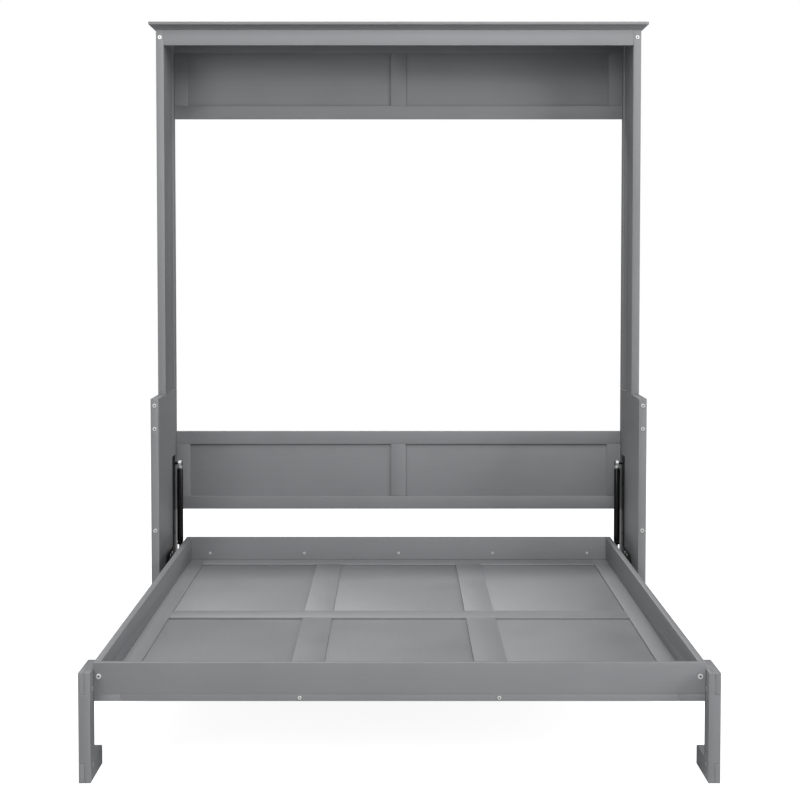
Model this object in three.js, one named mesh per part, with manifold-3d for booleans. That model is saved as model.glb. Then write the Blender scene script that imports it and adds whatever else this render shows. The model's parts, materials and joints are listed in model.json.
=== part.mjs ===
// A queen-size murphy wall bed, let down for the night.
// A shallow cabinet stands against the wall. The bed is a tray of boards that turns on two pivot pins low
// in the cabinet. Two gas springs carry it, and two plumb-hanging legs carry its far end.
//
// Millimetres, +Z up, the wall at +Y, the foot of the bed at -Y, +X to the right of someone facing the wall.
// The origin is on the floor, in the middle of the object's outline. Depths are measured from the wall.
import * as THREE from "three";
import { mergeVertices } from "three/addons/utils/BufferGeometryUtils.js";
import Module from "manifold-3d";

const wasm = await Module();
wasm.setup();

// ---- Driving dimensions ----

const gap = 0.3; // between any two pieces that touch
const overlap = 1; // how far shapes that are joined or cut run into or past each other
const boardThickness = 18;

const cabinet = {
  halfWidth: 859,
  sideThickness: 27,
  height: 2140, // without the crown
  upperDepth: 324,
  lowerDepth: 526,
  lowerHeight: 846,
  headerHeight: 55,
  frontBoardWidth: 165,
  rearStileWidth: 43,
  sideRecess: 5,
};

// The crown's section, outward from the cabinet's face and up from its top.
const crownSection = [
  [-18, 0],
  [2, 0],
  [20.5, 14.5],
  [23.5, 15],
  [23.5, 25],
  [-18, 25],
];

const backPanel = {
  height: 292,
  railHeight: 48,
  endStileWidth: 51,
  centreStileWidth: 56,
  frontDepth: 20,
  infillDepth: 4, // from the wall to the infill's back
  infillThickness: 7,
  lowerBottom: 392,
};

const mattress = { width: 1524, length: 2032 };
const mattressPlay = { width: 10, length: 4 };

const bed = {
  halfWidth: (mattress.width + mattressPlay.width) / 2 + boardThickness,
  length: mattress.length + mattressPlay.length + 2 * boardThickness,
  headDepth: 103, // from the wall to the head of the bed
  bottom: 200,
  railHeight: 82,
};

const platform = {
  outerStileWidth: 70,
  innerStileWidth: 91,
  endRailWidth: 116,
  middleRailWidth: 107,
  infillThickness: 6,
  tongue: 8, // how far an infill reaches into the frame's grooves
};

const leg = {
  thickness: 30.5,
  height: 284,
  postWidth: 64,
  armHeight: 56,
  armLength: 154,
  footHeight: 51,
  footLength: 184,
  footRadius: 7,
  standOff: 47, // how far it stands in front of the foot rail
  pivotSetBack: 112, // from its front face to the bolt that it hangs on
};

const pivotRise = 16; // of the bed's pivot above the platform's underside
const floorClearance = 8; // below the head of the bed when it stands upright

const steel = {
  basePlateThickness: 3,
  bracketThickness: 5,
  stripWidth: 64,
  stripTop: 603,
  bracketReach: 60, // in front of the pivot
  bracketInset: { head: 2, bottom: 1, top: 8 }, // inside the bed's own outline
  pivotPinRadius: 8,
  studRadius: 5,
  studHeadRadius: 7.5,
  studHeadThickness: 3,
  hubRadius: 14,
  hubLength: 10,
  hubPlay: 1, // between the bracket's hub and the pin's collar
  footRadius: 54,
  runningGap: 0.3, // round a pin in its bore
  boltRadius: 6,
  boltHeadRadius: 11,
  boltHeadThickness: 5,
};

const gasSpring = {
  centre: 808, // from the middle of the bed
  cylinderRadius: 11,
  cylinderLength: 283,
  cylinderTopDrop: 19, // from the upper stud's axis to the top of the cylinder
  rodRadius: 5,
  rodInside: 246,
  rodSpare: 14, // left in the bore above the rod
  eyeRadius: 9,
  eyeThickness: 12,
  upperStudHeight: 575,
  lowerStudDrop: 10, // below the bed's pivot
  studSetBack: 10, // in front of the head of the bed
  rodNeck: 8, // of the lower eye, above the eye's rim
};

// ---- Worked out from them ----

const bedHeadDepth = bed.headDepth;
const bedFootDepth = bedHeadDepth + bed.length;
const totalDepth = bedFootDepth + leg.standOff;
const bedTop = bed.bottom + boardThickness + bed.railHeight;
const sideInner = cabinet.halfWidth - cabinet.sideThickness;
const plateFace = sideInner - gap - steel.basePlateThickness;

// The head end swings down past the pivot, so the pivot stands as far in front of it as it is high.
const pivotHeight = bed.bottom + pivotRise;
const pivotDepth = bedHeadDepth + pivotHeight - floorClearance;

// The spring's lower stud sits at the head of the bed, below the upper stud.
const lowerStudHeight = pivotHeight - gasSpring.lowerStudDrop;
const studDepth = bedHeadDepth + gasSpring.studSetBack;

// How far out the bracket's hub reaches, and the near face of the gas spring's two eyes.
const hubFace = bed.halfWidth + gap + steel.bracketThickness + steel.hubLength;
const eyeFace = gasSpring.centre - gasSpring.eyeThickness / 2 - gap;

const legPivotDepth = totalDepth - leg.pivotSetBack;
const legPivotHeight = leg.height - leg.armHeight / 2;

const sides = [
  ["left", -1],
  ["right", 1],
];

// ---- Materials ----

const greyPaint = new THREE.MeshStandardMaterial({ color: 0x8b8d90, roughness: 0.5, metalness: 0 });
const blackSteel = new THREE.MeshStandardMaterial({ color: 0x1a1a1c, roughness: 0.45, metalness: 0.6 });
const brightSteel = new THREE.MeshStandardMaterial({ color: 0xc8c8c8, roughness: 0.25, metalness: 1 });

// ---- Helpers ----

const yAt = (depth) => totalDepth / 2 - depth;

// A solid for joining and cutting, from a closed geometry.
function solidOf(geometry) {
  const bare = geometry.clone().deleteAttribute("normal").deleteAttribute("uv");
  const merged = mergeVertices(bare, 1e-4);
  return new wasm.Manifold(
    new wasm.Mesh({
      numProp: 3,
      vertProperties: new Float32Array(merged.attributes.position.array),
      triVerts: new Uint32Array(merged.index.array),
    }),
  );
}

function geometryOf(solid) {
  const mesh = solid.getMesh();
  const geometry = new THREE.BufferGeometry();
  geometry.setAttribute("position", new THREE.BufferAttribute(new Float32Array(mesh.vertProperties), 3));
  geometry.setIndex(new THREE.BufferAttribute(new Uint32Array(mesh.triVerts), 1));
  const flat = geometry.toNonIndexed();
  flat.computeVertexNormals();
  return flat;
}

const join = (first, ...others) =>
  geometryOf(others.reduce((sum, other) => sum.add(solidOf(other)), solidOf(first)));

const cut = (first, ...others) =>
  geometryOf(others.reduce((rest, other) => rest.subtract(solidOf(other)), solidOf(first)));

// A block between two x values, two depths and two heights, given in either order.
function block(xs, depths, heights) {
  const low = new THREE.Vector3(Math.min(...xs), yAt(Math.max(...depths)), Math.min(...heights));
  const high = new THREE.Vector3(Math.max(...xs), yAt(Math.min(...depths)), Math.max(...heights));
  const size = high.clone().sub(low);
  const middle = high.clone().add(low).multiplyScalar(0.5);
  return new THREE.BoxGeometry(size.x, size.y, size.z).translate(middle.x, middle.y, middle.z);
}

// A round bar along X, centred on a depth and a height.
function barAlongX(xs, depth, height, radius) {
  const bar = new THREE.CylinderGeometry(radius, radius, Math.abs(xs[1] - xs[0]), 32);
  bar.rotateZ(Math.PI / 2);
  return bar.translate((xs[0] + xs[1]) / 2, yAt(depth), height);
}

// A flat plate between two x values. Its outline is drawn in y and z.
function plate(xs, outline) {
  const thickness = Math.abs(xs[1] - xs[0]);
  const geometry = new THREE.ExtrudeGeometry(outline, {
    depth: thickness,
    bevelEnabled: false,
    curveSegments: 8,
  });
  const turn = new THREE.Matrix4().makeBasis(
    new THREE.Vector3(0, 1, 0),
    new THREE.Vector3(0, 0, 1),
    new THREE.Vector3(1, 0, 0),
  );
  return geometry.applyMatrix4(turn).translate(Math.min(...xs), 0, 0);
}

// A straight strip between two end outlines with the same number of corners, which must be convex.
function strip(startOutline, endOutline) {
  const count = startOutline.length;
  const positions = [...startOutline, ...endOutline].flatMap((p) => [p.x, p.y, p.z]);
  const faces = [];
  for (let i = 0; i < count; i += 1) {
    const next = (i + 1) % count;
    faces.push(i, next, count + next);
    faces.push(i, count + next, count + i);
  }
  for (let i = 1; i < count - 1; i += 1) {
    faces.push(0, i + 1, i);
    faces.push(count, count + i, count + i + 1);
  }
  const geometry = new THREE.BufferGeometry();
  geometry.setAttribute("position", new THREE.Float32BufferAttribute(positions, 3));
  geometry.setIndex(faces);
  return geometry;
}

const root = new THREE.Group();

// Adds a named piece. Its geometry is moved to its own centre and the mesh is placed there.
function add(group, name, geometry, material) {
  geometry.computeBoundingBox();
  const centre = geometry.boundingBox.getCenter(new THREE.Vector3());
  geometry.translate(-centre.x, -centre.y, -centre.z);
  const mesh = new THREE.Mesh(geometry, material);
  mesh.name = name;
  mesh.position.copy(centre);
  group.add(mesh);
}

// ---- Cabinet sides ----

function lowerSide(group, side, sign) {
  const xs = [sign * sideInner, sign * cabinet.halfWidth];
  const panelDepth = cabinet.lowerDepth - boardThickness;
  const panel = block(xs, [0, panelDepth - gap], [0, cabinet.lowerHeight]);
  const edging = block(xs, [panelDepth, cabinet.lowerDepth], [0, cabinet.lowerHeight]);
  add(group, `lower_side_panel_${side}`, panel, greyPaint);
  add(group, `lower_side_edging_${side}`, edging, greyPaint);
}

function upperSide(group, side, sign) {
  const xs = [sign * sideInner, sign * cabinet.halfWidth];
  const heights = [cabinet.lowerHeight + gap, cabinet.height];
  const seam = cabinet.upperDepth - cabinet.frontBoardWidth;
  const frontBoard = block(xs, [seam, cabinet.upperDepth], heights);
  const recess = block(
    [sign * (sideInner - overlap), sign * (sideInner + cabinet.sideRecess)],
    [cabinet.rearStileWidth, seam + overlap],
    [heights[0] - overlap, heights[1] + overlap],
  );
  const rearBoard = cut(block(xs, [0, seam - gap], heights), recess);
  add(group, `upper_side_front_board_${side}`, frontBoard, greyPaint);
  add(group, `upper_side_rear_board_${side}`, rearBoard, greyPaint);
}

// ---- Cabinet top ----

function topOfCabinet(group) {
  const xs = [-(sideInner - gap), sideInner - gap];
  const headerBack = cabinet.upperDepth - boardThickness;
  const header = block(
    xs,
    [headerBack, cabinet.upperDepth],
    [cabinet.height - cabinet.headerHeight, cabinet.height],
  );
  const top = block(
    xs,
    [backPanel.frontDepth + gap, headerBack - gap],
    [cabinet.height - boardThickness, cabinet.height],
  );
  add(group, "header_board", header, greyPaint);
  add(group, "top_board", top, greyPaint);
}

// A corner of the crown: the section's points where two mouldings meet, or where one ends at the wall.
function crownOutline(xOf, depthOf) {
  return crownSection.map(([out, up]) => {
    const height = cabinet.height + gap + up;
    return new THREE.Vector3(xOf(out), yAt(depthOf(out)), height);
  });
}

function crown(group) {
  const mitre = (out) => cabinet.upperDepth + out;
  const front = strip(
    crownOutline((out) => cabinet.halfWidth + out - gap, mitre),
    crownOutline((out) => -(cabinet.halfWidth + out - gap), mitre),
  );
  add(group, "crown_front", front, greyPaint);
  for (const [side, sign] of sides) {
    const xOf = (out) => sign * (cabinet.halfWidth + out);
    const atWall = crownOutline(xOf, () => 0);
    const atMitre = crownOutline(xOf, (out) => mitre(out) - gap);
    const piece = sign > 0 ? strip(atWall, atMitre) : strip(atMitre, atWall);
    add(group, `crown_${side}`, piece, greyPaint);
  }
}

// ---- Back panels ----

function back(group, name, bottom) {
  const top = bottom + backPanel.height;
  const half = sideInner - gap;
  const depths = [0, backPanel.frontDepth];
  const opening = [bottom + backPanel.railHeight, top - backPanel.railHeight];
  const stileHeights = [opening[0] + gap, opening[1] - gap];
  const stileInner = half - backPanel.endStileWidth;
  const infillFront = backPanel.infillDepth + backPanel.infillThickness;
  const infillHalf = stileInner + platform.tongue;
  const infillHeights = [opening[0] - platform.tongue, opening[1] + platform.tongue];
  const infillDepths = [backPanel.infillDepth, infillFront];
  const infill = block([-infillHalf, infillHalf], infillDepths, infillHeights);
  const groove = block(
    [-infillHalf - gap, infillHalf + gap],
    [infillDepths[0] - gap, infillDepths[1] + gap],
    [infillHeights[0] - gap, infillHeights[1] + gap],
  );
  const railHeights = { top: [opening[1], top], bottom: [bottom, opening[0]] };
  for (const [place, heights] of Object.entries(railHeights)) {
    const rail = cut(block([-half, half], depths, heights), groove);
    add(group, `${name}_${place}_rail`, rail, greyPaint);
  }
  for (const [side, sign] of sides) {
    const stile = cut(block([sign * stileInner, sign * half], depths, stileHeights), groove);
    add(group, `${name}_end_stile_${side}`, stile, greyPaint);
  }
  const centreHalf = backPanel.centreStileWidth / 2;
  const centreDepths = [infillFront + gap, backPanel.frontDepth];
  add(group, `${name}_centre_stile`, block([-centreHalf, centreHalf], centreDepths, stileHeights), greyPaint);
  add(group, `${name}_infill`, infill, greyPaint);
}

// ---- Bed tray ----

function bedRails(group) {
  const heights = [bed.bottom + boardThickness + gap, bedTop];
  const xs = [-bed.halfWidth, bed.halfWidth];
  const headInner = bedHeadDepth + boardThickness;
  const footInner = bedFootDepth - boardThickness;
  add(group, "bed_head_rail", block(xs, [bedHeadDepth, headInner], heights), greyPaint);
  add(group, "bed_foot_rail", block(xs, [footInner, bedFootDepth], heights), greyPaint);
  for (const [side, sign] of sides) {
    const sideXs = [sign * (bed.halfWidth - boardThickness), sign * bed.halfWidth];
    const rail = block(sideXs, [headInner + gap, footInner - gap], heights);
    const boltHole = barAlongX(
      [sign * (bed.halfWidth - boardThickness - overlap), sign * (bed.halfWidth + overlap)],
      legPivotDepth,
      legPivotHeight,
      steel.boltRadius + steel.runningGap,
    );
    add(group, `bed_side_rail_${side}`, cut(rail, boltHole), greyPaint);
  }
}

// ---- Platform: a frame of flat boards with six infill panels ----

function platformFrame(group) {
  const heights = [bed.bottom, bed.bottom + boardThickness];
  const outerInner = bed.halfWidth - platform.outerStileWidth;
  const middle = (bedHeadDepth + bedFootDepth) / 2;
  const crossRails = {
    head: [bedHeadDepth, bedHeadDepth + platform.endRailWidth],
    middle: [middle - platform.middleRailWidth / 2, middle + platform.middleRailWidth / 2],
    foot: [bedFootDepth - platform.endRailWidth, bedFootDepth],
  };
  const rows = {
    head: [crossRails.head[1], crossRails.middle[0]],
    foot: [crossRails.middle[1], crossRails.foot[0]],
  };
  const columnWidth = (2 * outerInner - 2 * platform.innerStileWidth) / 3;
  const innerStileInner = columnWidth / 2;
  const innerStileOuter = innerStileInner + platform.innerStileWidth;
  const columns = {
    left: [-outerInner, -innerStileOuter],
    middle: [-innerStileInner, innerStileInner],
    right: [innerStileOuter, outerInner],
  };

  const infillMiddle = (heights[0] + heights[1]) / 2;
  const halfInfill = platform.infillThickness / 2;
  const grown = ([low, high], by) => [low - by, high + by];
  const infillBlock = (column, row, extra) =>
    block(
      grown(columns[column], platform.tongue + extra),
      grown(rows[row], platform.tongue + extra),
      [infillMiddle - halfInfill - extra, infillMiddle + halfInfill + extra],
    );
  const grooves = [];
  for (const row of Object.keys(rows)) {
    for (const column of Object.keys(columns)) {
      add(group, `platform_panel_${column}_${row}`, infillBlock(column, row, 0), greyPaint);
      grooves.push(infillBlock(column, row, gap));
    }
  }

  const railXs = [-outerInner + gap, outerInner - gap];
  for (const [name, depths] of Object.entries(crossRails)) {
    add(group, `platform_${name}_rail`, cut(block(railXs, depths, heights), ...grooves), greyPaint);
  }
  for (const [side, sign] of sides) {
    const outer = block([sign * outerInner, sign * bed.halfWidth], [bedHeadDepth, bedFootDepth], heights);
    add(group, `platform_outer_stile_${side}`, cut(outer, ...grooves), greyPaint);
    for (const [row, depths] of Object.entries(rows)) {
      const inner = block([sign * innerStileInner, sign * innerStileOuter], grown(depths, -gap), heights);
      add(group, `platform_inner_stile_${side}_${row}`, cut(inner, ...grooves), greyPaint);
    }
  }
}

// ---- Legs: a post with an arm at its top and a foot at its bottom, half-lapped ----

function legBoards(group, side, sign) {
  const inner = bed.halfWidth + gap;
  const outer = inner + leg.thickness;
  const lap = (inner + outer) / 2;
  const innerHalf = [sign * (inner - overlap), sign * (lap + gap / 2)];
  const outerHalf = [sign * (lap - gap / 2), sign * (outer + overlap)];
  const xs = [sign * inner, sign * outer];
  const postDepths = [totalDepth - leg.postWidth, totalDepth];
  const armHeights = [leg.height - leg.armHeight, leg.height];
  const footHeights = [0, leg.footHeight];

  const notchDepths = [postDepths[0] - overlap, totalDepth + overlap];
  const notches = [
    block(outerHalf, notchDepths, [armHeights[0] - gap, armHeights[1] + overlap]),
    block(outerHalf, notchDepths, [footHeights[0] - overlap, footHeights[1] + gap]),
  ];
  add(group, `leg_post_${side}`, cut(block(xs, postDepths, [0, leg.height]), ...notches), greyPaint);

  const lapDepths = [postDepths[0] - gap, totalDepth + overlap];
  const bolt = barAlongX(
    [sign * (inner - overlap), sign * (outer + overlap)],
    legPivotDepth,
    legPivotHeight,
    steel.boltRadius + steel.runningGap,
  );
  const arm = block(xs, [totalDepth - leg.armLength, totalDepth], armHeights);
  const armLap = block(innerHalf, lapDepths, [armHeights[0] - overlap, armHeights[1] + overlap]);
  add(group, `leg_arm_${side}`, cut(arm, armLap, bolt), greyPaint);

  const heel = yAt(totalDepth - leg.footLength);
  const toe = yAt(totalDepth);
  const outline = new THREE.Shape();
  outline.moveTo(toe, footHeights[0]);
  outline.lineTo(heel, footHeights[0]);
  outline.lineTo(heel, footHeights[1] - leg.footRadius);
  outline.absarc(heel - leg.footRadius, footHeights[1] - leg.footRadius, leg.footRadius, 0, Math.PI / 2);
  outline.lineTo(toe, footHeights[1]);
  const footLap = block(innerHalf, lapDepths, [footHeights[0] - overlap, footHeights[1] + overlap]);
  add(group, `leg_foot_${side}`, cut(plate(xs, outline), footLap), greyPaint);
}

// The bolt that a leg hangs on. It is fixed in the side rail, its head outside the leg.
function legBolt(group, side, sign) {
  const railInner = bed.halfWidth - boardThickness;
  const headFace = bed.halfWidth + gap + leg.thickness + gap;
  const turned = (from, to, radius) =>
    barAlongX([sign * from, sign * to], legPivotDepth, legPivotHeight, radius);
  const shank = turned(railInner + gap, headFace + overlap, steel.boltRadius);
  const head = turned(headFace, headFace + steel.boltHeadThickness, steel.boltHeadRadius);
  add(group, `leg_bolt_${side}`, join(shank, head), brightSteel);
}

// ---- Steel fittings ----

// An L of flat steel on the side panel: a tall strip behind the gas spring and a foot that ends round the
// pivot pin. The pin, its collar and the spring's upper stud are riveted in.
function basePlate(group, side, sign) {
  const stripBack = studDepth - steel.stripWidth / 2;
  const stripFront = studDepth + steel.stripWidth / 2;
  const footTop = pivotHeight + steel.footRadius;
  const footBottom = pivotHeight - steel.footRadius;
  const outline = new THREE.Shape();
  outline.moveTo(yAt(stripBack), footBottom);
  outline.lineTo(yAt(stripBack), steel.stripTop);
  outline.lineTo(yAt(stripFront), steel.stripTop);
  outline.lineTo(yAt(stripFront), footTop);
  outline.lineTo(yAt(pivotDepth), footTop);
  outline.absarc(yAt(pivotDepth), pivotHeight, steel.footRadius, Math.PI / 2, 1.5 * Math.PI);
  const flat = plate([sign * plateFace, sign * (sideInner - gap)], outline);

  const intoPlate = plateFace + overlap;
  const atPivot = (from, radius) =>
    barAlongX([sign * from, sign * intoPlate], pivotDepth, pivotHeight, radius);
  const pin = atPivot(bed.halfWidth + overlap, steel.pivotPinRadius);
  const collar = atPivot(hubFace + steel.hubPlay, steel.hubRadius);
  const atStud = (from, to, radius) =>
    barAlongX([sign * from, sign * to], studDepth, gasSpring.upperStudHeight, radius);
  const stud = atStud(eyeFace - overlap, intoPlate, steel.studRadius);
  const studHead = atStud(eyeFace - steel.studHeadThickness, eyeFace, steel.studHeadRadius);
  add(group, `base_plate_${side}`, join(flat, pin, collar, stud, studHead), blackSteel);
}

// The bed's own plate, with the hub that turns on the pivot pin and the stud that the rod pulls on.
function bedBracket(group, side, sign) {
  const inner = bed.halfWidth + gap;
  const face = inner + steel.bracketThickness;
  const corner = 12;
  const slope = 40; // at the head end, where the plate is low behind and high in front
  const backY = yAt(bedHeadDepth + steel.bracketInset.head);
  const frontY = yAt(pivotDepth + steel.bracketReach);
  const bottom = bed.bottom + steel.bracketInset.bottom;
  const top = bedTop - steel.bracketInset.top;
  const outline = new THREE.Shape();
  outline.moveTo(frontY, bottom);
  outline.lineTo(backY, bottom);
  outline.lineTo(backY, bottom + 2 * corner);
  outline.lineTo(backY - slope, top);
  outline.lineTo(frontY + corner, top);
  outline.absarc(frontY + corner, top - corner, corner, Math.PI / 2, Math.PI);
  const flat = plate([sign * inner, sign * face], outline);
  const atPivot = (from, to, radius) =>
    barAlongX([sign * from, sign * to], pivotDepth, pivotHeight, radius);
  const hub = atPivot(face - overlap, hubFace, steel.hubRadius);
  const boreRadius = steel.pivotPinRadius + steel.runningGap;
  const bore = atPivot(inner - overlap, hubFace + overlap, boreRadius);
  const studXs = [sign * (face - overlap), sign * eyeFace];
  const stud = barAlongX(studXs, studDepth, lowerStudHeight, steel.studRadius);
  add(group, `bed_bracket_${side}`, cut(join(flat, hub, stud), bore), blackSteel);
}

// ---- Gas springs ----

// An eye on a stud's axis, with a neck of the given length that reaches up or down from it.
function eye(sign, height, neckTo) {
  const half = gasSpring.eyeThickness / 2;
  const xs = [sign * (gasSpring.centre - half), sign * (gasSpring.centre + half)];
  const neckWidth = gasSpring.rodRadius;
  const ring = barAlongX(xs, studDepth, height, gasSpring.eyeRadius);
  const neck = block(
    [sign * (gasSpring.centre - neckWidth), sign * (gasSpring.centre + neckWidth)],
    [studDepth - neckWidth, studDepth + neckWidth],
    [height, neckTo],
  );
  return join(ring, neck);
}

function studHole(sign, height) {
  const half = gasSpring.eyeThickness;
  const xs = [sign * (gasSpring.centre - half), sign * (gasSpring.centre + half)];
  return barAlongX(xs, studDepth, height, steel.studRadius + steel.runningGap);
}

// The cylinder is open below, where the rod slides in and out.
function gasCylinder(group, side, sign) {
  const top = gasSpring.upperStudHeight - gasSpring.cylinderTopDrop;
  const bottom = top - gasSpring.cylinderLength;
  const boreTop = bottom + gasSpring.rodInside + gasSpring.rodSpare;
  const boreRadius = gasSpring.rodRadius + gap;
  const chamfer = 2;
  const profile = [
    [0, boreTop],
    [boreRadius, boreTop],
    [boreRadius, bottom],
    [gasSpring.cylinderRadius - chamfer, bottom],
    [gasSpring.cylinderRadius, bottom + chamfer],
    [gasSpring.cylinderRadius, top - chamfer],
    [gasSpring.cylinderRadius - chamfer, top],
    [0, top],
  ];
  const tube = new THREE.LatheGeometry(profile.map(([r, z]) => new THREE.Vector2(r, z)), 32);
  tube.rotateX(Math.PI / 2);
  tube.translate(sign * gasSpring.centre, yAt(studDepth), 0);
  const body = join(tube, eye(sign, gasSpring.upperStudHeight, top - overlap));
  add(group, `gas_cylinder_${side}`, cut(body, studHole(sign, gasSpring.upperStudHeight)), blackSteel);
}

function gasRod(group, side, sign) {
  const cylinderBottom = gasSpring.upperStudHeight - gasSpring.cylinderTopDrop - gasSpring.cylinderLength;
  const bottom = lowerStudHeight + gasSpring.eyeRadius - overlap;
  const top = cylinderBottom + gasSpring.rodInside;
  const shaft = new THREE.CylinderGeometry(gasSpring.rodRadius, gasSpring.rodRadius, top - bottom, 32);
  shaft.rotateX(Math.PI / 2);
  shaft.translate(sign * gasSpring.centre, yAt(studDepth), (top + bottom) / 2);
  const body = join(shaft, eye(sign, lowerStudHeight, bottom + gasSpring.rodNeck));
  add(group, `gas_rod_${side}`, cut(body, studHole(sign, lowerStudHeight)), brightSteel);
}

// ---- Assembly ----

const cabinetGroup = new THREE.Group();
const bedGroup = new THREE.Group();
root.add(cabinetGroup, bedGroup);

topOfCabinet(cabinetGroup);
crown(cabinetGroup);
back(cabinetGroup, "upper_back", cabinet.height - backPanel.height);
back(cabinetGroup, "lower_back", backPanel.lowerBottom);
bedRails(bedGroup);
platformFrame(bedGroup);

for (const [side, sign] of sides) {
  lowerSide(cabinetGroup, side, sign);
  upperSide(cabinetGroup, side, sign);
  basePlate(cabinetGroup, side, sign);
  bedBracket(bedGroup, side, sign);
  legBolt(bedGroup, side, sign);

  const legGroup = new THREE.Group();
  const springGroup = new THREE.Group();
  root.add(legGroup, springGroup);
  legBoards(legGroup, side, sign);
  gasCylinder(springGroup, side, sign);
  gasRod(springGroup, side, sign);
}

export default root;
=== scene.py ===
"""A queen-size murphy wall bed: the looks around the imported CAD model.

Metres, +Z up, the wall at +Y, the foot of the bed at -Y. The places of the pieces are worked out from
the frame.
"""
import json
import math
import random

import bmesh
import bpy
from mathutils import Matrix, Vector


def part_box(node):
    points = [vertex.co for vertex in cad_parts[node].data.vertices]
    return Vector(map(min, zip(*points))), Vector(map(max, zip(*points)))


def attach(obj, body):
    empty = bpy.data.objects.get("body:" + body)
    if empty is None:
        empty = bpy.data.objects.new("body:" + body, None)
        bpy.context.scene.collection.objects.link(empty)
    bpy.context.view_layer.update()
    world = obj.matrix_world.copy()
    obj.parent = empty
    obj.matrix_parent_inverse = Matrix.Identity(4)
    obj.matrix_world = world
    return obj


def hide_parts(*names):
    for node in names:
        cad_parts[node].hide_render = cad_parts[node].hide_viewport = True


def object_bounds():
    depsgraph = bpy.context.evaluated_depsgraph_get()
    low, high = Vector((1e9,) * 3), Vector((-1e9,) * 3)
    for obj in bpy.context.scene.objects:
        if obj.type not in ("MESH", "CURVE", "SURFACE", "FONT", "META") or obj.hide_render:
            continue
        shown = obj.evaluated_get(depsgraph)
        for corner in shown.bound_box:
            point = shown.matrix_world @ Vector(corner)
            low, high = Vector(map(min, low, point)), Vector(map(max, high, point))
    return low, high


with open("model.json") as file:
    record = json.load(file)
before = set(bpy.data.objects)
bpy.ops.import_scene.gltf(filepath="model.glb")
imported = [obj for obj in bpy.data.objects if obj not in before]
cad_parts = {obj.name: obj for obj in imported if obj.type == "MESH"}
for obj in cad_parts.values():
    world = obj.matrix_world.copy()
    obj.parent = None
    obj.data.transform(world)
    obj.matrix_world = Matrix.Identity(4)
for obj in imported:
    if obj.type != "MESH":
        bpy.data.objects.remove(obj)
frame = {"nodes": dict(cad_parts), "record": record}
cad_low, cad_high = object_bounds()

MM = 0.001
SIDES = (("left", -1), ("right", 1))

WALL = cad_high.y
FLOOR = cad_low.z
FORWARD = (0, -1, 0)  # from the wall towards the foot of the bed
STUDIO_HALF = 200  # half the floor's width

# Eased edges.
BOARD_EDGE_RADIUS = 1.1 * MM
STEEL_EDGE_RADIUS = 0.5 * MM
EDGE_STEPS = 2  # strips across an eased edge
SMOOTH_BELOW = math.radians(30)  # a sharper turn than this is an edge
FLAT_BELOW = math.radians(0.5)  # faces that turn less than this are one face
WELD_WITHIN = 0.01 * MM  # points closer than this are one point

# Turned parts.
TURNED_SIDES = 64
SCREW_SIDES = 24

# Screws, by the radius of the cap.
LARGE_CAP = 7 * MM
MEDIUM_CAP = 5 * MM
SMALL_CAP = 4 * MM
PIN_CAP = 6 * MM

# The steel fittings, where a node's box doesn't say it.
EYE_RADIUS = 9 * MM
ROD_RADIUS = 5 * MM
LEG_BOLT_RADIUS = 6 * MM
PLATE_RISE = 3.3 * MM  # from the side panel's face to the base plate's

bodies = frame["record"]["behaviour"]["bodies"]
body_of = {node: body for body, nodes in bodies.items() for node in nodes}


# ---- Camera, light and floor ----

def make_camera():
    """At chest height, a little left of the middle and tilted slightly down, shifted to frame the bed."""
    from_wall = 6.740
    height = 1.340
    across = -0.0081
    tilt = math.radians(2.80)
    data = bpy.data.cameras.new("camera")
    data.sensor_width = 36
    data.lens = 81.02
    data.shift_x = 0.0046
    data.shift_y = -0.07
    data.clip_end = 2 * STUDIO_HALF
    camera = bpy.data.objects.new("camera", data)
    camera.location = (across, WALL - from_wall, FLOOR + height)
    camera.rotation_euler = (math.radians(90) - tilt, 0, 0)
    bpy.context.scene.collection.objects.link(camera)
    bpy.context.scene.camera = camera


def make_light(name, place, target, size, power):
    """A rectangular softbox that faces its target."""
    data = bpy.data.lights.new(name, "AREA")
    data.shape = "RECTANGLE"
    data.size, data.size_y = size
    data.energy = power
    light = bpy.data.objects.new(name, data)
    light.location = place
    aim = Vector(target) - Vector(place)
    light.rotation_euler = aim.to_track_quat("-Z", "Y").to_euler()
    bpy.context.scene.collection.objects.link(light)


def seen_by_camera(tree, elsewhere, seen):
    """A strength that is one value for what the camera sees and another for the light that it gives."""
    strength = tree.nodes.new("ShaderNodeMapRange")
    strength.inputs["To Min"].default_value = elsewhere
    strength.inputs["To Max"].default_value = seen
    path = tree.nodes.new("ShaderNodeLightPath")
    tree.links.new(path.outputs["Is Camera Ray"], strength.inputs["Value"])
    return strength.outputs["Result"]


def make_world(room_light):
    """A white backdrop that itself gives little light."""
    world = bpy.data.worlds.new("studio")
    bpy.context.scene.world = world
    world.use_nodes = True
    tree = world.node_tree
    background = tree.nodes["Background"]
    background.inputs["Color"].default_value = (1, 1, 1, 1)
    strength = seen_by_camera(tree, elsewhere=room_light, seen=1.0)
    tree.links.new(strength, background.inputs["Strength"])


def make_lights():
    """Softboxes, in watts: two from above, two from in front, one from the right, one from behind."""
    cabinet = (0, 0, FLOOR + 1.2)
    middle = (0, 0, FLOOR + 0.8)
    make_light("over", (0.0, -1.6, 4.6), (0, -0.6, FLOOR), (3.0, 2.0), 83)
    make_light("over_front", (0.9, -3.3, 4.0), middle, (3.2, 2.0), 30)
    make_light("front", (0.6, -6.0, 4.5), cabinet, (3.0, 2.5), 61)
    make_light("front_left", (-3.0, -6.0, 3.0), cabinet, (2.5, 2.5), 102)
    make_light("right", (5.0, -3.0, 2.5), middle, (2.0, 2.0), 83)
    make_light("behind", (0.0, 4.6, 5.2), (0, WALL, FLOOR + 1.0), (3.5, 2.0), 150)
    make_world(0.13)


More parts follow.
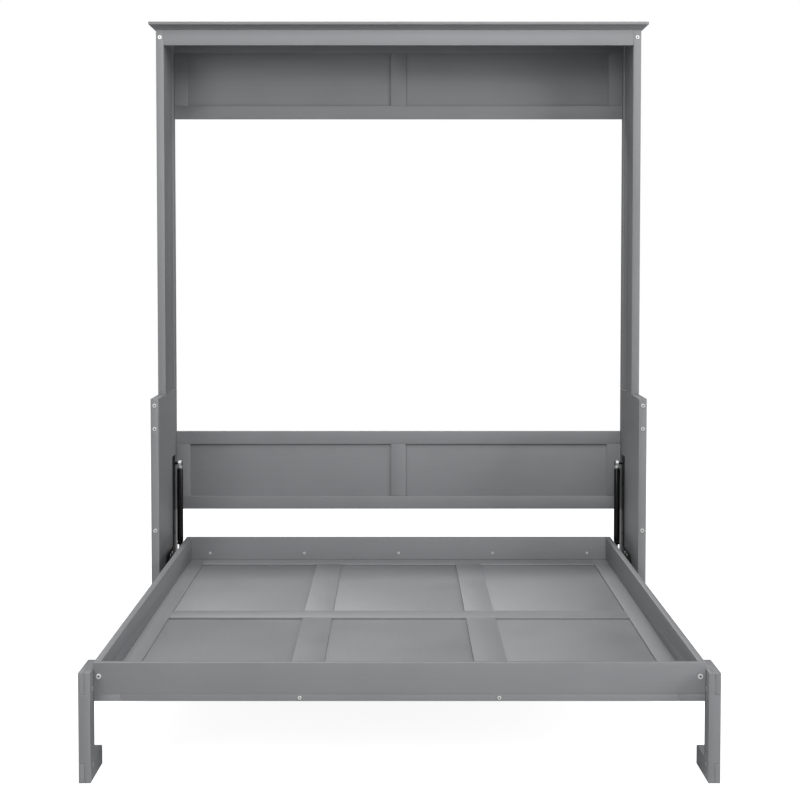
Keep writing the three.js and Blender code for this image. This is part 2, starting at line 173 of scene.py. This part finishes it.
def make_floor():
    """A wide pale floor."""
    mesh = bpy.data.meshes.new("floor")
    signs = ((-1, -1), (1, -1), (1, 1), (-1, 1))
    corners = [(x * STUDIO_HALF, y * STUDIO_HALF, FLOOR) for x, y in signs]
    mesh.from_pydata(corners, [], [(0, 1, 2, 3)])
    floor = bpy.data.objects.new("floor", mesh)
    bpy.context.scene.collection.objects.link(floor)
    mesh.materials.append(floor_paint())


# ---- Materials ----

class Shader:
    """A material with one Principled BSDF, and short ways to add the nodes that the materials share."""

    def __init__(self, name, **constants):
        self.material = bpy.data.materials.new(name)
        self.material.use_nodes = True
        self.tree = self.material.node_tree
        self.surface = self.tree.nodes["Principled BSDF"]
        for socket, value in constants.items():
            self.surface.inputs[socket.replace("_", " ")].default_value = value

    def node(self, kind, **settings):
        made = self.tree.nodes.new(kind)
        for name, value in settings.items():
            setattr(made, name, value)
        return made

    def place(self, stretch=(1, 1, 1), attribute=None):
        """Coordinates in metres, times the stretch: the object's own, or a mesh attribute's."""
        if attribute:
            source = self.node("ShaderNodeAttribute", attribute_name=attribute).outputs["Vector"]
        else:
            source = self.node("ShaderNodeTexCoord").outputs["Object"]
        mapping = self.node("ShaderNodeMapping")
        mapping.inputs["Scale"].default_value = stretch
        self.tree.links.new(source, mapping.inputs["Vector"])
        return mapping.outputs["Vector"]

    def noise(self, place, size, detail=3.0, roughness=0.5, distortion=0.0):
        """Noise with features of about the given size."""
        made = self.node("ShaderNodeTexNoise")
        made.inputs["Scale"].default_value = 1 / size
        made.inputs["Detail"].default_value = detail
        made.inputs["Roughness"].default_value = roughness
        made.inputs["Distortion"].default_value = distortion
        self.tree.links.new(place, made.inputs["Vector"])
        return made.outputs["Fac"]

    def span(self, source, low, high, start=0.3, end=0.7):
        """A number that runs from low to high as the source runs from start to end."""
        made = self.node("ShaderNodeMapRange")
        made.inputs["From Min"].default_value = start
        made.inputs["From Max"].default_value = end
        made.inputs["To Min"].default_value = low
        made.inputs["To Max"].default_value = high
        self.tree.links.new(source, made.inputs["Value"])
        return made.outputs["Result"]

    def sum(self, first, second):
        made = self.node("ShaderNodeMath", operation="ADD")
        self.tree.links.new(first, made.inputs[0])
        self.tree.links.new(second, made.inputs[1])
        return made.outputs["Value"]

    def tint(self, colour, source, spread, start=0.3, end=0.7):
        """The colour made darker and lighter by the spread, a share of it, as the source varies."""
        ramp = self.node("ShaderNodeValToRGB")
        for stop, place, gain in zip(ramp.color_ramp.elements, (start, end), (1 - spread, 1 + spread)):
            stop.position = place
            stop.color = (*(channel * gain for channel in colour), 1)
        self.tree.links.new(source, ramp.inputs["Fac"])
        return ramp.outputs["Color"]

    def bump(self, height, distance, strength=1.0, below=None):
        made = self.node("ShaderNodeBump")
        made.inputs["Distance"].default_value = distance
        made.inputs["Strength"].default_value = strength
        self.tree.links.new(height, made.inputs["Height"])
        if below:
            self.tree.links.new(below, made.inputs["Normal"])
        return made.outputs["Normal"]

    def finish(self, **sources):
        for socket, source in sources.items():
            self.tree.links.new(source, self.surface.inputs[socket.replace("_", " ")])
        return self.material


def board_paint(name, colour, rough):
    """Satin lacquer on smooth board: faint grain, a spray texture and slow changes of tone."""
    shader = Shader(name)
    along = (0.03, 1, 1)
    fibres = shader.noise(shader.place(along, "grain"), 0.9 * MM, detail=4, roughness=0.6)
    figure = shader.noise(shader.place(along, "grain"), 9 * MM, detail=2, distortion=0.6)
    spray = shader.noise(shader.place(attribute="grain"), 2.2 * MM, detail=2)
    cloud = shader.noise(shader.place(attribute="grain"), 180 * MM, detail=3)
    tone = shader.sum(shader.span(figure, 0, 0.35), shader.span(cloud, 0, 0.65))
    base = shader.tint(colour, tone, 0.035, start=0.1, end=0.9)
    grain_bump = shader.bump(fibres, 0.02 * MM, strength=0.5)
    figure_bump = shader.bump(figure, 0.03 * MM, strength=0.5, below=grain_bump)
    spray_bump = shader.bump(spray, 0.03 * MM, strength=0.7, below=figure_bump)
    shine = shader.sum(shader.span(cloud, rough - 0.05, rough + 0.03), shader.span(fibres, 0, 0.05))
    return shader.finish(Base_Color=base, Roughness=shine, Normal=spray_bump)


def powder_coat():
    """Semi-gloss black powder coat: a fine pebbled skin."""
    shader = Shader("black_powder_coat", Specular_IOR_Level=0.15)
    pebble = shader.noise(shader.place(), 0.7 * MM, detail=2)
    cloud = shader.noise(shader.place(), 30 * MM, detail=3)
    base = shader.tint((0.008, 0.008, 0.009), cloud, 0.25)
    shine = shader.span(cloud, 0.45, 0.58)
    skin = shader.bump(pebble, 0.05 * MM, strength=0.8)
    return shader.finish(Base_Color=base, Roughness=shine, Normal=skin)


def worn_powder_coat():
    """The same coat where it thins over an edge and the steel shows through a little."""
    shader = Shader("black_powder_coat_edge")
    patches = shader.noise(shader.place(), 4 * MM, detail=4, roughness=0.7)
    base = shader.tint((0.035, 0.035, 0.038), patches, 0.6)
    shine = shader.span(patches, 0.3, 0.45)
    return shader.finish(Base_Color=base, Roughness=shine)


def gloss_black():
    """The gas cylinder's smooth black paint, with the faint rings of a drawn tube."""
    shader = Shader("gloss_black", Specular_IOR_Level=0.3, Coat_Weight=0.15, Coat_Roughness=0.1)
    drawn = shader.noise(shader.place((1, 1, 0.02)), 1.2 * MM, detail=3)
    cloud = shader.noise(shader.place(), 25 * MM, detail=2)
    base = shader.tint((0.007, 0.007, 0.008), cloud, 0.25)
    shine = shader.span(drawn, 0.2, 0.3)
    skin = shader.bump(drawn, 0.01 * MM, strength=0.5)
    return shader.finish(Base_Color=base, Roughness=shine, Normal=skin)


def bright_metal(name, colour, rough, spread, mark_size, metallic=1.0):
    """Bright or plated metal: fine tool marks, and a slow change of tone where the plating varies."""
    shader = Shader(name, Metallic=metallic)
    marks = shader.noise(shader.place((1, 1, 0.15)), mark_size, detail=3, roughness=0.6)
    cloud = shader.noise(shader.place(), 12 * MM, detail=3)
    base = shader.tint(colour, cloud, spread)
    shine = shader.span(marks, rough * 0.8, rough * 1.2)
    skin = shader.bump(marks, 0.01 * MM, strength=0.5)
    return shader.finish(Base_Color=base, Roughness=shine, Normal=skin)


def shaded_socket_metal():
    """The inside of a screw's socket: the same metal, dull and painted dark, standing in for the shade in
    its hollow.
    """
    shader = Shader("painted_socket_shade", Metallic=0.6)
    socket_mottle = shader.noise(shader.place(), 1.5 * MM, detail=3)
    base = shader.tint((0.06, 0.06, 0.06), socket_mottle, 0.3)
    return shader.finish(Base_Color=base, Roughness=shader.span(socket_mottle, 0.5, 0.7))


def floor_paint():
    """A matt white studio floor, bright enough to run into the backdrop."""
    shader = Shader("studio_floor", Emission_Color=(1, 1, 1, 1))
    mottle = shader.noise(shader.place(), 0.6, detail=4)
    base = shader.tint((0.6, 0.6, 0.6), mottle, 0.01)
    shine = shader.span(mottle, 0.6, 0.7)
    glow = seen_by_camera(shader.tree, elsewhere=0.0, seen=0.92)
    return shader.finish(Base_Color=base, Roughness=shine, Emission_Strength=glow)


BOARD_GREY = (0.27, 0.275, 0.285)
EDGE_GREY = tuple(channel * 1.12 for channel in BOARD_GREY)  # lighter, on the eased edges
paint = board_paint("grey_lacquer", BOARD_GREY, 0.46)
paint_edge = board_paint("grey_lacquer_edge", EDGE_GREY, 0.42)
black = powder_coat()
black_edge = worn_powder_coat()
black_gloss = gloss_black()
zinc = bright_metal("bright_zinc", (0.9, 0.9, 0.89), 0.4, 0.06, 0.4 * MM, metallic=0.6)
# Dark metal for the screws' sockets: painted shade in the hollows.
socket_shade_paint = shaded_socket_metal()
chrome = bright_metal("hard_chrome", (0.75, 0.75, 0.77), 0.08, 0.03, 0.3 * MM)


# ---- Pieces ----

def add_piece(name, mesh, body, slot, *materials):
    """A new object that rides on a body. Materials that the mesh has already aren't added again."""
    for material in materials:
        if material.name not in mesh.materials:
            mesh.materials.append(material)
    piece = bpy.data.objects.new(name, mesh)
    bpy.context.scene.collection.objects.link(piece)
    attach(piece, body)
    return piece


def finer_copy(node, radius, materials):
    """The CAD node's shape, with whole flat faces and rounded edges in the second material."""
    shape = bmesh.new()
    shape.from_mesh(frame["nodes"][node].data)
    bmesh.ops.remove_doubles(shape, verts=shape.verts, dist=WELD_WITHIN)
    bmesh.ops.dissolve_limit(shape, angle_limit=FLAT_BELOW, verts=shape.verts, edges=shape.edges)
    for face in shape.faces:
        face.smooth = True
        face.material_index = 0
    mesh = bpy.data.meshes.new(node)
    shape.to_mesh(mesh)
    shape.free()
    for material in materials:
        mesh.materials.append(material)
    draft = bpy.data.objects.new("draft", mesh)
    bpy.context.scene.collection.objects.link(draft)
    rounding = draft.modifiers.new("rounding", "BEVEL")
    rounding.width = radius
    rounding.segments = EDGE_STEPS
    rounding.limit_method = "ANGLE"
    rounding.angle_limit = SMOOTH_BELOW
    rounding.use_clamp_overlap = False
    rounding.harden_normals = True
    rounding.material = 1
    graph = bpy.context.evaluated_depsgraph_get()
    finished = bpy.data.meshes.new_from_object(draft.evaluated_get(graph), depsgraph=graph)
    bpy.data.objects.remove(draft)
    return finished


def lay_grain(mesh, chance):
    """Stores each point's place in the wood: the board's length first, shifted by chance."""
    points = [vertex.co for vertex in mesh.vertices]
    sides = [max(p[axis] for p in points) - min(p[axis] for p in points) for axis in range(3)]
    order = sorted(range(3), key=lambda axis: -sides[axis])
    furthest = 50  # metres, so that boards seldom share a stretch of grain
    shift = Vector([chance.uniform(0, furthest) for _ in range(3)])
    grain = mesh.attributes.new("grain", "FLOAT_VECTOR", "POINT")
    for point, stored in zip(points, grain.data):
        stored.vector = Vector([point[axis] for axis in order]) + shift


def is_board(node):
    """Whether a node is a board, which all but the steel ones are."""
    steel = ("base_plate", "bed_bracket", "leg_bolt", "gas_")
    return not node.startswith(steel)


def paint_boards():
    """Each board as a finer copy with eased edges and its own stretch of grain."""
    for number, node in enumerate(sorted(filter(is_board, body_of))):
        mesh = finer_copy(node, BOARD_EDGE_RADIUS, (paint, paint_edge))
        lay_grain(mesh, random.Random(number))
        piece = add_piece(f"{node}_painted", mesh, body_of[node], "grey_board")
        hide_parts(node)


def coat_plates():
    """The black steel plates, with their pins."""
    for side, _ in SIDES:
        for part in ("base_plate", "bed_bracket"):
            node = f"{part}_{side}"
            mesh = finer_copy(node, STEEL_EDGE_RADIUS, (black, black_edge))
            piece = add_piece(f"{node}_coated", mesh, body_of[node], "black_steel")
            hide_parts(node)


# ---- Turned pieces ----

def ring(shape, radius_at, height, sides):
    """A ring of points round Z. The radius may vary with the angle."""
    points = []
    for step in range(sides):
        angle = 2 * math.pi * step / sides
        radius = radius_at(angle) if callable(radius_at) else radius_at
        points.append(shape.verts.new((radius * math.cos(angle), radius * math.sin(angle), height)))
    return points


def turn(shape, profile, sides, place):
    """Adds a closed turned body: a profile of (radius, height) from one end to the other.

    Returns the last ring of side faces and the last end's face.
    """
    rings = [ring(shape, radius, height, sides) for radius, height in profile]
    for lower, upper in zip(rings, rings[1:]):
        walls = []
        for step in range(sides):
            after = (step + 1) % sides
            walls.append(shape.faces.new((lower[step], lower[after], upper[after], upper[step])))
    shape.faces.new(list(reversed(rings[0])))
    end = shape.faces.new(rings[-1])
    made = [point for loop in rings for point in loop]
    bmesh.ops.transform(shape, matrix=place, verts=made)
    return walls + [end]


def facing(direction, origin):
    """A transform that stands a turned body at the origin, its +Z along the direction."""
    turned = Vector(direction).to_track_quat("Z", "Y").to_matrix().to_4x4()
    return Matrix.Translation(origin) @ turned


def hexagon(across_flats):
    """The radius of a hexagon at an angle."""
    apothem = across_flats / 2

    def radius_at(angle):
        turned = (angle % (math.pi / 3)) - math.pi / 6
        return apothem / math.cos(turned)

    return radius_at


def add_cap_screw(shape, origin, direction, radius, rise):
    """A low cap with a rounded rim and a hexagonal socket, its inside in the second material, painted dark
    as shade.
    """
    socket = hexagon(radius * 0.68)
    profile = [
        (radius * 0.97, 0),
        (radius, rise * 0.2),
        (radius, rise * 0.55),
        (radius * 0.96, rise * 0.82),
        (radius * 0.87, rise),
        (lambda angle: socket(angle) * 1.08, rise),
        (socket, rise * 0.9),
        (socket, rise * 0.2),
    ]
    # The socket's walls and floor take the dark metal: painted shade in the hollow.
    for face in turn(shape, profile, SCREW_SIDES, facing(direction, origin)):
        face.material_index = 1


def finish_shape(shape, name):
    """The mesh of a shape, its faces pointing out, smooth but for its edges."""
    bmesh.ops.recalc_face_normals(shape, faces=shape.faces)
    mesh = bpy.data.meshes.new(name)
    shape.to_mesh(mesh)
    shape.free()
    mesh.shade_smooth()
    mesh.set_sharp_from_angle(angle=SMOOTH_BELOW)
    return mesh


def add_screws(name, node, places, direction, radius, rise=2.2 * MM, slot="zinc", metal=zinc):
    """Screws of one size in one face of a node, as one piece."""
    shape = bmesh.new()
    for place in places:
        add_cap_screw(shape, Vector(place), direction, radius, rise)
    # The second material darkens the sockets: painted shade.
    add_piece(name, finish_shape(shape, name), body_of[node], slot, metal, socket_shade_paint)


def middle_of(node):
    low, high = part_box(node)
    return (low + high) / 2


def screws_in_sides():
    """Down the front edges of the cabinet's sides."""
    below_top = 27 * MM
    below_edging_top = (24 * MM, 105 * MM, 459 * MM)
    for side, _ in SIDES:
        edging_node = f"lower_side_edging_{side}"
        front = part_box(f"upper_side_front_board_{side}")
        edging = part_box(edging_node)
        across = middle_of(edging_node).x
        places = [(across, front[0].y, front[1].z - below_top)]
        places += [(across, edging[0].y, edging[1].z - drop) for drop in below_edging_top]
        add_screws(f"side_screws_{side}", edging_node, places, FORWARD, LARGE_CAP)


def screws_in_head_rail():
    """Five along its foot side, evenly spaced."""
    low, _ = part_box("bed_head_rail")
    pitch = 348.5 * MM
    height = low.z + 23 * MM
    places = [(step * pitch, low.y, height) for step in range(-2, 3)]
    add_screws("head_rail_screws", "bed_head_rail", places, FORWARD, MEDIUM_CAP)


def screws_in_foot_rail():
    """One near each end, into the side rail's end."""
    inboard = 5 * MM  # of the middle of the side rail
    raised = 5 * MM  # above the middle of the foot rail
    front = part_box("bed_foot_rail")[0].y
    height = middle_of("bed_foot_rail").z + raised
    places = []
    for side, sign in SIDES:
        across = middle_of(f"bed_side_rail_{side}").x - sign * inboard
        places.append((across, front, height))
    add_screws("foot_rail_screws", "bed_foot_rail", places, FORWARD, LARGE_CAP)


def screws_in_platform():
    """Two in the platform's front edge."""
    across = 256 * MM
    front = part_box("platform_foot_rail")[0].y
    height = middle_of("platform_foot_rail").z
    places = [(sign * across, front, height) for _, sign in SIDES]
    add_screws("platform_screws", "platform_foot_rail", places, FORWARD, MEDIUM_CAP)


def screws_in_legs():
    """On each lap of the legs, two caps outside and one inside, almost flush to clear the rail."""
    almost_flush = 0.2 * MM
    outside_shares = (0.3, 0.7)  # of the post's width, from its front
    inside_share = 0.6
    inside_lift = {"arm": -21 * MM, "foot": 13 * MM}  # from the middle of the lap
    for side, sign in SIDES:
        post = f"leg_post_{side}"
        low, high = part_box(post)
        inner, outer = sorted((low.x, high.x), key=abs)
        outside = []
        inside = []
        for part in ("arm", "foot"):
            height = middle_of(f"leg_{part}_{side}").z
            outside += [(outer, low.y + (high.y - low.y) * share, height) for share in outside_shares]
            inside.append((inner, low.y + (high.y - low.y) * inside_share, height + inside_lift[part]))
        add_screws(f"leg_screws_{side}", post, outside, (sign, 0, 0), SMALL_CAP)
        add_screws(f"leg_pins_{side}", post, inside, (-sign, 0, 0), PIN_CAP, rise=almost_flush)


# ---- Steel fittings ----

def screws_in_plates():
    """Caps that hold each base plate: black ones up its strip, zinc ones along its foot."""
    low_cap = 1.7 * MM
    strip_half_width = 32 * MM
    up_the_strip = (0.35, 0.55, 0.75)
    above_foot = 94 * MM
    along_foot = (84 * MM, 140 * MM)
    for side, sign in SIDES:
        plate = f"base_plate_{side}"
        low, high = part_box(plate)
        panel_low, panel_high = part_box(f"lower_side_panel_{side}")
        panel_face = min(abs(panel_low.x), abs(panel_high.x))
        face = sign * (panel_face - PLATE_RISE)
        strip_middle = high.y - strip_half_width
        inward = (-sign, 0, 0)
        places = [(face, strip_middle, low.z + (high.z - low.z) * share) for share in up_the_strip]
        add_screws(f"strip_screws_{side}", plate, places, inward, MEDIUM_CAP, low_cap, "black_steel", black)
        places = [(face, strip_middle - reach, low.z + above_foot) for reach in along_foot]
        add_screws(f"base_plate_screws_{side}", plate, places, inward, MEDIUM_CAP, low_cap)


def gas_cylinder(side):
    """The painted tube with its rolled ends and the rod's bore, and the zinc eye screwed onto it."""
    node = f"gas_cylinder_{side}"
    name = f"{node}_tube"
    neck_length = 19 * MM
    bore = ROD_RADIUS + 0.3 * MM
    spare = 10 * MM  # left in the bore above the rod
    low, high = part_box(node)
    centre = middle_of(node)
    radius = (high.x - low.x) / 2
    eye_centre = Vector((centre.x, centre.y, high.z - EYE_RADIUS))
    tube_top = eye_centre.z - neck_length
    length = tube_top - low.z
    bore_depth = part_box(f"gas_rod_{side}")[1].z - low.z + spare
    rolled = radius - 1.2 * MM
    profile = [
        (bore, bore_depth),
        (bore, 0),
        (radius - 2.4 * MM, 0),
        (radius - 0.8 * MM, 0.8 * MM),
        (radius, 2.6 * MM),
        (radius, 9 * MM),
        (rolled, 10.4 * MM),
        (rolled, 12.2 * MM),
        (radius, 13.6 * MM),
        (radius, length - 4 * MM),
        (radius - 0.9 * MM, length - 1.4 * MM),
        (radius - 2.8 * MM, length),
    ]
    shape = bmesh.new()
    turn(shape, profile, TURNED_SIDES, Matrix.Translation((centre.x, centre.y, low.z)))
    tube = add_piece(name, finish_shape(shape, name), body_of[node], "black_steel", black_gloss)
    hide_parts(node)
    add_eye(node, eye_centre, tube_top, radius * 0.62)


def gas_rod(side):
    """The chromed rod and its zinc eye."""
    node = f"gas_rod_{side}"
    name = f"{node}_shaft"
    neck_length = 15 * MM
    chamfer = 0.6 * MM
    low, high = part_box(node)
    centre = middle_of(node)
    eye_centre = Vector((centre.x, centre.y, low.z + EYE_RADIUS))
    bottom = eye_centre.z + neck_length
    length = high.z - bottom
    profile = [
        (ROD_RADIUS - chamfer, 0),
        (ROD_RADIUS, chamfer),
        (ROD_RADIUS, length - chamfer),
        (ROD_RADIUS - chamfer, length),
    ]
    shape = bmesh.new()
    turn(shape, profile, TURNED_SIDES, Matrix.Translation((centre.x, centre.y, bottom)))
    rod = add_piece(name, finish_shape(shape, name), body_of[node], "chrome", chrome)
    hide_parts(node)
    add_eye(node, eye_centre, bottom, ROD_RADIUS * 1.2)


def add_eye(node, centre, neck_end, neck_radius):
    """A zinc eye: a ring round the stud's axis, and a turned neck that runs up or down to its end."""
    half = 6 * MM
    bore = 5.3 * MM
    edge = 0.7 * MM
    section = [
        (bore, -half + edge),
        (bore + edge, -half),
        (EYE_RADIUS - edge, -half),
        (EYE_RADIUS, -half + edge),
        (EYE_RADIUS, half - edge),
        (EYE_RADIUS - edge, half),
        (bore + edge, half),
        (bore, half - edge),
    ]
    shape = bmesh.new()
    rings = [ring(shape, radius, height, TURNED_SIDES) for radius, height in section]
    for lower, upper in zip(rings, rings[1:] + rings[:1]):
        for step in range(TURNED_SIDES):
            after = (step + 1) % TURNED_SIDES
            shape.faces.new((lower[step], lower[after], upper[after], upper[step]))
    bmesh.ops.transform(shape, matrix=facing((1, 0, 0), centre), verts=shape.verts)
    upward = 1 if neck_end > centre.z else -1
    start = centre.z + upward * (EYE_RADIUS - 1.2 * MM)
    length = abs(neck_end - start)
    neck = [
        (neck_radius * 0.8, 0),
        (neck_radius * 0.8, length * 0.3),
        (neck_radius, length * 0.42),
        (neck_radius, length * 0.9),
        (neck_radius * 0.92, length),
    ]
    turn(shape, neck, TURNED_SIDES, facing((0, 0, upward), Vector((centre.x, centre.y, start))))
    name = f"{node}_eye"
    add_piece(name, finish_shape(shape, name), body_of[node], "zinc", zinc)


def leg_bolt(side, sign):
    """A bright bolt with a domed, socketed head, on a washer."""
    node = f"leg_bolt_{side}"
    low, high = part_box(node)
    centre = middle_of(node)
    inner, outer = sorted((low.x, high.x), key=abs)
    head_radius = (high.z - low.z) / 2
    dome_radius = head_radius * 0.84
    head_rise = 5 * MM
    washer = 1.4 * MM
    chamfer = 0.3 * MM
    shank_length = abs(outer - inner) - head_rise
    shank_tip = LEG_BOLT_RADIUS - 0.8 * MM
    shank = [(shank_tip, 0), (LEG_BOLT_RADIUS, 0.8 * MM), (LEG_BOLT_RADIUS, shank_length)]
    socket = hexagon(6 * MM)
    head = [
        (head_radius - chamfer, 0),
        (head_radius, chamfer),
        (head_radius, washer - chamfer),
        (head_radius - chamfer, washer),
        (dome_radius, washer),
        (dome_radius, washer + 1 * MM),
        (head_radius * 0.74, head_rise - 0.8 * MM),
        (head_radius * 0.56, head_rise),
        (lambda angle: socket(angle) * 1.06, head_rise),
        (socket, head_rise - chamfer),
        (socket, head_rise - 3 * MM),
    ]
    shape = bmesh.new()
    tip = Vector((inner, centre.y, centre.z))
    turn(shape, shank, TURNED_SIDES, facing((sign, 0, 0), tip))
    seat = tip + Vector((sign * shank_length, 0, 0))
    # The socket's walls and floor take the dark metal: painted shade in the hollow.
    for face in turn(shape, head, SCREW_SIDES * 2, facing((sign, 0, 0), seat)):
        face.material_index = 1
    mesh = finish_shape(shape, node)
    bolt = add_piece(f"{node}_bright", mesh, body_of[node], "zinc", zinc, socket_shade_paint)
    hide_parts(node)


# ---- The whole object ----

bpy.context.scene.view_settings.view_transform = "Standard"
make_camera()
make_lights()
make_floor()
paint_boards()
coat_plates()
screws_in_sides()
screws_in_head_rail()
screws_in_foot_rail()
screws_in_platform()
screws_in_legs()
screws_in_plates()
for side, sign in SIDES:
    gas_cylinder(side)
    gas_rod(side)
    leg_bolt(side, sign)
